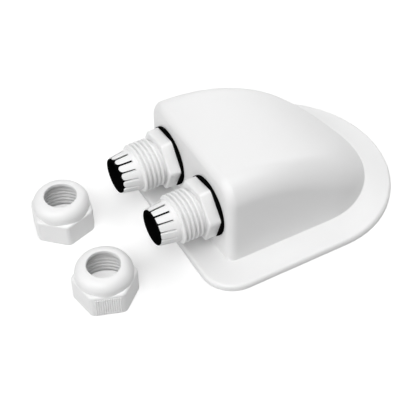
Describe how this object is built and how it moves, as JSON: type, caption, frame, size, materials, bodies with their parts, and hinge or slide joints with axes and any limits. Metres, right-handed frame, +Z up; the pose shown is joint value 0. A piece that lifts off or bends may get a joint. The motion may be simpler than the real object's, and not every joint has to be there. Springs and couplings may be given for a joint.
{
  "type": "roof cable entry box",
  "caption": "Hollow D-shaped roof housing with a glue-on flange and cable glands in its front wall, dome nuts off, for leading solar cables through a roof.",
  "frame": {"origin": "on the underside of the flange, below the middle of the front wall's outer face", "axes": "+Z up from the roof, -Y out of the front wall along the glands, +Y back along the housing"},
  "size_m": [0.098, 0.162, 0.0442],
  "materials": {
    "housing_plastic": "satin moulded white",
    "gland_plastic": "satin moulded white nylon",
    "seal_rubber": "matte black"
  },
  "bodies": {
    "root": {"housing": "housing_plastic", "gland_body_left": "gland_plastic", "gland_body_right": "gland_plastic", "sealing_washer_left": "seal_rubber", "sealing_washer_right": "seal_rubber", "lock_nut_left": "gland_plastic", "lock_nut_right": "gland_plastic", "seal_bush_left": "seal_rubber", "seal_bush_right": "seal_rubber", "dome_nut_left": "gland_plastic", "dome_nut_right": "gland_plastic"}
  },
  "joints": []
}
